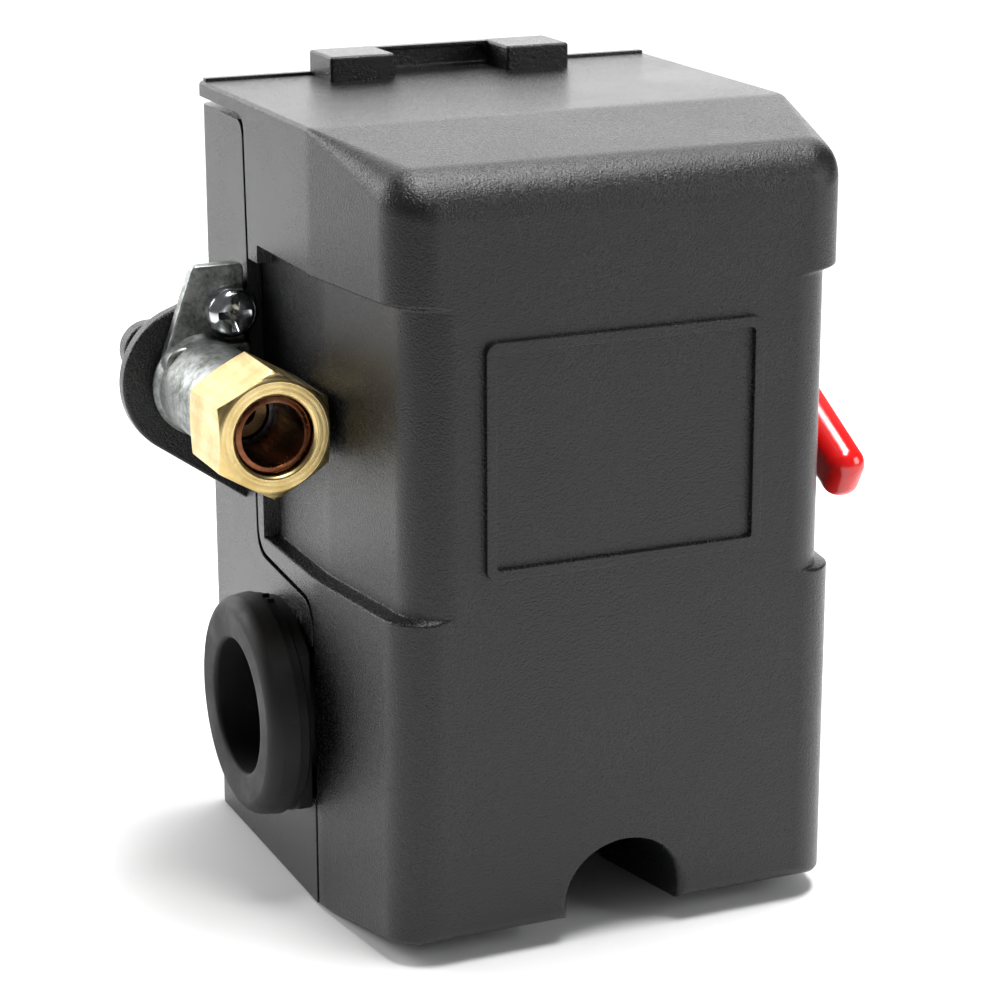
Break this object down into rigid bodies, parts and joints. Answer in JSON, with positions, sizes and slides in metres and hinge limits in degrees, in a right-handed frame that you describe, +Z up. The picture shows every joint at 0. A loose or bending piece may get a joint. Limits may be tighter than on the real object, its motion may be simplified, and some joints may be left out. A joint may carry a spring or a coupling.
{
  "type": "pressure switch",
  "caption": "Air compressor pressure switch: black two-part case, side unloader valve with tube nut, cable grommets, auto/off lever with red grip, bottom pressure port.",
  "frame": {"origin": "middle of the footprint of the whole switch, on the plane of the base's underside", "axes": "+Z up from the pressure port to the top of the case; +Y from the front panel to the rear wall; +X to the lever side"},
  "size_m": [0.0874, 0.0632, 0.1032],
  "materials": {
    "black_plastic": "moulded, finely spark-eroded satin",
    "black_rubber": "matt moulded",
    "zinc_plate": "bright zinc plated sheet steel",
    "die_cast": "as-cast, lightly mottled",
    "brass": "machined, bright",
    "copper": "drawn, slightly tarnished copper alloy",
    "spring_steel": "oiled spring wire",
    "bright_steel": "bright plated",
    "red_vinyl": "dipped soft vinyl, glossy",
    "green_screw": "green lacquered earth screw",
    "white_nylon": "natural nylon",
    "phenolic": "moulded phenolic"
  },
  "bodies": {
    "case": {"rear_base": "black_plastic", "grommet_left": "black_rubber", "grommet_right": "black_rubber", "diaphragm": "black_rubber", "chassis_frame": "zinc_plate", "flange_screw_1": "zinc_plate", "flange_screw_2": "zinc_plate", "flange_screw_3": "zinc_plate", "flange_screw_4": "zinc_plate", "base_screw_left": "zinc_plate", "base_screw_right": "zinc_plate", "block_screw_left": "zinc_plate", "block_screw_right": "zinc_plate", "terminal_screw_1": "zinc_plate", "terminal_screw_2": "zinc_plate", "terminal_screw_3": "zinc_plate", "terminal_screw_4": "zinc_plate", "port_flange": "die_cast", "unloader_body": "die_cast", "terminal_1": "brass", "terminal_2": "brass", "terminal_3": "brass", "terminal_4": "brass", "spring_retainer": "brass", "tube_nut": "brass", "tube_sleeve": "copper", "range_spring": "spring_steel", "differential_spring": "spring_steel", "snap_spring": "spring_steel", "unloader_spring": "spring_steel", "rocker_pin": "bright_steel", "carrier_pin": "bright_steel", "unloader_screw": "bright_steel", "ground_screw_left": "green_screw", "ground_screw_right": "green_screw", "terminal_block": "phenolic"},
    "cover": {"front_cover": "black_plastic"},
    "lever": {"lever_shaft": "zinc_plate", "lever_arm": "zinc_plate", "lever_grip": "red_vinyl", "off_cam": "white_nylon"},
    "rocker": {"rocker_lever": "zinc_plate", "unloader_arm": "black_plastic"},
    "plate": {"pressure_plate": "white_nylon"},
    "carrier": {"contact_carrier": "white_nylon", "moving_contact_left": "copper", "moving_contact_right": "copper"},
    "valve_pin": {"unloader_pin": "bright_steel", "unloader_seal": "black_rubber"},
    "range_adjuster": {"range_screw": "zinc_plate"},
    "range_follower": {"range_seat": "zinc_plate"},
    "differential_adjuster": {"differential_screw": "zinc_plate"},
    "differential_follower": {"differential_seat": "zinc_plate"}
  },
  "joints": [
    {"name": "cover_pull", "type": "slide", "parent": "case", "child": "cover", "axis": [0, -1, 0], "range_m": [0, 0.075]},
    {"name": "lever_turn", "type": "hinge", "parent": "case", "child": "lever", "pos_m": [0.0398, 0.0211, 0.074], "axis": [-1, 0, 0], "range_deg": [0, 25]},
    {"name": "rocker_tilt", "type": "hinge", "parent": "case", "child": "rocker", "pos_m": [0.0043, -0.0049, 0.032], "axis": [1, 0, 0], "range_deg": [0, 2.7], "stiffness_Nm_per_rad": 1},
    {"name": "plate_slide", "type": "slide", "parent": "case", "child": "plate", "axis": [0, 0, 1], "range_m": [0, 0.00085]},
    {"name": "carrier_tilt", "type": "hinge", "parent": "case", "child": "carrier", "pos_m": [0.0043, 0.0031, 0.0475], "axis": [-1, 0, 0], "range_deg": [0, 8.5], "deforming": ["snap_spring"]},
    {"name": "unloader_pin_slide", "type": "slide", "parent": "case", "child": "valve_pin", "axis": [0, -1, 0], "range_m": [0, 0.0016], "deforming": ["unloader_spring"]},
    {"name": "range_seat_slide", "type": "slide", "parent": "case", "child": "range_follower", "axis": [0, 0, -1], "range_m": [0, 0.00375], "deforming": ["range_spring"]},
    {"name": "range_screw_turn", "type": "hinge", "parent": "case", "child": "range_adjuster", "pos_m": [0.0003, 0.0216, 0.086], "axis": [0, 0, 1], "range_deg": [0, 1081]},
    {"name": "differential_seat_slide", "type": "slide", "parent": "case", "child": "differential_follower", "axis": [0, 0, -1], "range_m": [0, 0.0024], "deforming": ["differential_spring"]},
    {"name": "differential_screw_turn", "type": "hinge", "parent": "case", "child": "differential_adjuster", "pos_m": [0.0138, 0.0216, 0.086], "axis": [0, 0, 1], "range_deg": [0, 1081]}
  ],
  "couplings": [
    {"joint": "plate_slide", "follows": "rocker_tilt", "m_per_rad": 0.017},
    {"joint": "carrier_tilt", "follows": "rocker_tilt", "ratio": 3},
    {"joint": "unloader_pin_slide", "follows": "rocker_tilt", "m_per_rad": 0.0319},
    {"joint": "range_screw_turn", "follows": "range_seat_slide", "rad_per_m": 5026.5},
    {"joint": "differential_screw_turn", "follows": "differential_seat_slide", "rad_per_m": 7854}
  ]
}
